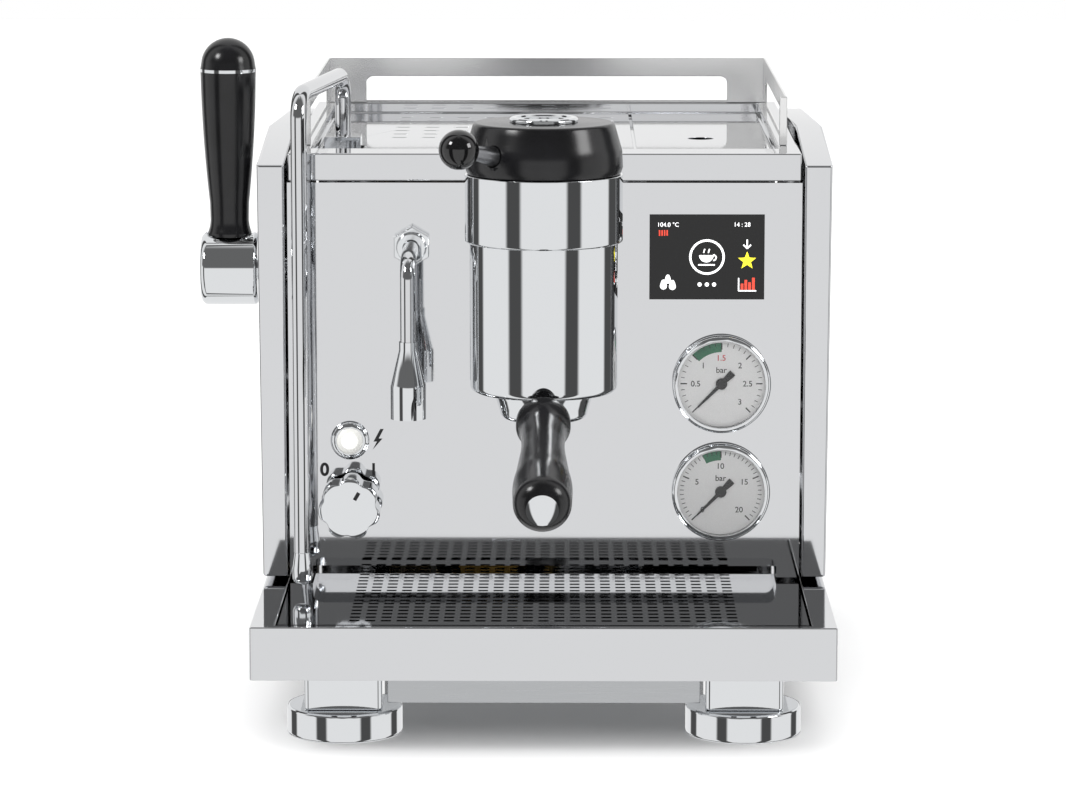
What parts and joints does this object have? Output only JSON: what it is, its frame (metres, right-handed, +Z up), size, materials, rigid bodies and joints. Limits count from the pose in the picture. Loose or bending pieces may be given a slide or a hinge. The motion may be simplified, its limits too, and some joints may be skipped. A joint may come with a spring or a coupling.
{
  "type": "espresso machine",
  "caption": "Boxy worktop espresso machine with a vertical brew group, portafilter, steam wand, side lever, gauges, screen and drip tray.",
  "frame": {"origin": "bottom centre of the bounding box, on the worktop", "axes": "+Z up; -Y towards the user, who faces the front panel; +X to the user's right"},
  "size_m": [0.4016, 0.6489, 0.43],
  "materials": {
    "polished_steel": "mirror-polished stainless steel sheet and tube",
    "chassis_steel": "plain stainless steel",
    "chrome_plate": "polished chrome plating",
    "steel_basket": "pressed stainless steel",
    "satin_black": "satin black moulded plastic",
    "gloss_black": "gloss black phenolic ball",
    "steel_stem": "turned steel",
    "dial_face": "printed matt dial",
    "needle_black": "matt black",
    "clear_lens": "clear flat lens",
    "display_glass": "black display window",
    "lamp_white": "white diffusing lens",
    "black_moulding": "black moulded housing",
    "tank_plastic": "smoked clear tank",
    "boiler_metal": "welded stainless boiler",
    "motor_paint": "black painted motor",
    "pump_brass": "machined brass",
    "gasket_rubber": "moulded rubber ring"
  },
  "bodies": {
    "machine": {"base_pan": "chassis_steel", "legs": "chrome_plate", "feet": "chrome_plate", "front_panel": "polished_steel", "left_side_panel": "polished_steel", "right_side_panel": "polished_steel", "back_panel": "polished_steel", "top_frame": "polished_steel", "cup_tray": "polished_steel", "cup_rail": "polished_steel", "water_tank": "tank_plastic", "steam_boiler": "boiler_metal", "brew_boiler": "boiler_metal", "pump_head": "pump_brass", "pump_motor": "motor_paint", "control_box": "black_moulding", "steam_valve": "chrome_plate", "solenoid_valve": "pump_brass", "steam_pipe": "chassis_steel", "steam_gauge_case": "chrome_plate", "steam_gauge_dial": "dial_face", "steam_gauge_lens": "clear_lens", "brew_gauge_case": "chrome_plate", "brew_gauge_dial": "dial_face", "brew_gauge_lens": "clear_lens", "screen_module": "black_moulding", "screen_glass": "display_glass", "lamp_bezel": "chrome_plate", "lamp_lens": "lamp_white", "switch_body": "black_moulding", "spout_nut": "chrome_plate", "group_neck": "chrome_plate", "group_upper_ring": "chrome_plate", "group_body": "chrome_plate", "group_gasket": "gasket_rubber", "shower_screen": "steel_basket", "wand_base": "chrome_plate", "power_inlet": "black_moulding", "case_screws": "chassis_steel"},
    "tray": {"drip_tray": "polished_steel", "drip_grate": "polished_steel"},
    "portafilter": {"portafilter_body": "chrome_plate", "filter_basket": "steel_basket", "portafilter_grip": "satin_black", "grip_end_cap": "chrome_plate"},
    "brew_lever": {"group_cap": "satin_black", "cap_badge": "chrome_plate", "brew_lever_stem": "steel_stem", "brew_ball": "gloss_black"},
    "steam_lever": {"steam_hub": "chrome_plate", "steam_grip": "satin_black", "steam_grip_band": "chrome_plate"},
    "wand": {"wand_tube": "polished_steel", "wand_tip": "chrome_plate"},
    "spout": {"spout_tube": "polished_steel", "spout_nozzle": "chrome_plate"},
    "power_switch": {"power_knob": "chrome_plate"},
    "steam_pointer": {"steam_needle": "needle_black"},
    "brew_pointer": {"brew_needle": "needle_black"},
    "lid": {"tank_lid": "polished_steel"}
  },
  "joints": [
    {"name": "tray_slide", "type": "slide", "parent": "machine", "child": "tray", "axis": [0, -1, 0], "range_m": [0, 0.2]},
    {"name": "portafilter_turn", "type": "hinge", "parent": "machine", "child": "portafilter", "pos_m": [0.01855, -0.13756, 0.2227], "axis": [0, 0, 1], "range_deg": [-50, 5]},
    {"name": "brew_lever_turn", "type": "hinge", "parent": "machine", "child": "brew_lever", "pos_m": [0.01855, -0.13756, 0.372], "axis": [0, 0, 1], "range_deg": [0, 50]},
    {"name": "steam_lever_turn", "type": "hinge", "parent": "machine", "child": "steam_lever", "pos_m": [-0.18295, -0.01555, 0.2825], "axis": [1, 0, 0], "range_deg": [0, 60]},
    {"name": "wand_swivel", "type": "hinge", "parent": "machine", "child": "wand", "pos_m": [-0.11445, 0.07244, 0.356], "axis": [0, 0, 1], "range_deg": [-6, 20]},
    {"name": "spout_swivel", "type": "hinge", "parent": "machine", "child": "spout", "pos_m": [-0.06575, -0.04555, 0.3], "axis": [0, 1, 0], "range_deg": [-15, 15]},
    {"name": "power_knob_turn", "type": "hinge", "parent": "machine", "child": "power_switch", "pos_m": [-0.10505, -0.05556, 0.1346], "axis": [0, -1, 0], "range_deg": [0, 64]},
    {"name": "steam_needle_turn", "type": "hinge", "parent": "machine", "child": "steam_pointer", "pos_m": [0.13155, -0.03755, 0.2112], "axis": [0, 1, 0], "range_deg": [0, 270], "stiffness_Nm_per_rad": 0.0005},
    {"name": "brew_needle_turn", "type": "hinge", "parent": "machine", "child": "brew_pointer", "pos_m": [0.13155, -0.03755, 0.1412], "axis": [0, 1, 0], "range_deg": [0, 270], "stiffness_Nm_per_rad": 0.0005},
    {"name": "tank_lid_lift", "type": "slide", "parent": "machine", "child": "lid", "axis": [0, 0, 1], "range_m": [0, 0.06]}
  ]
}
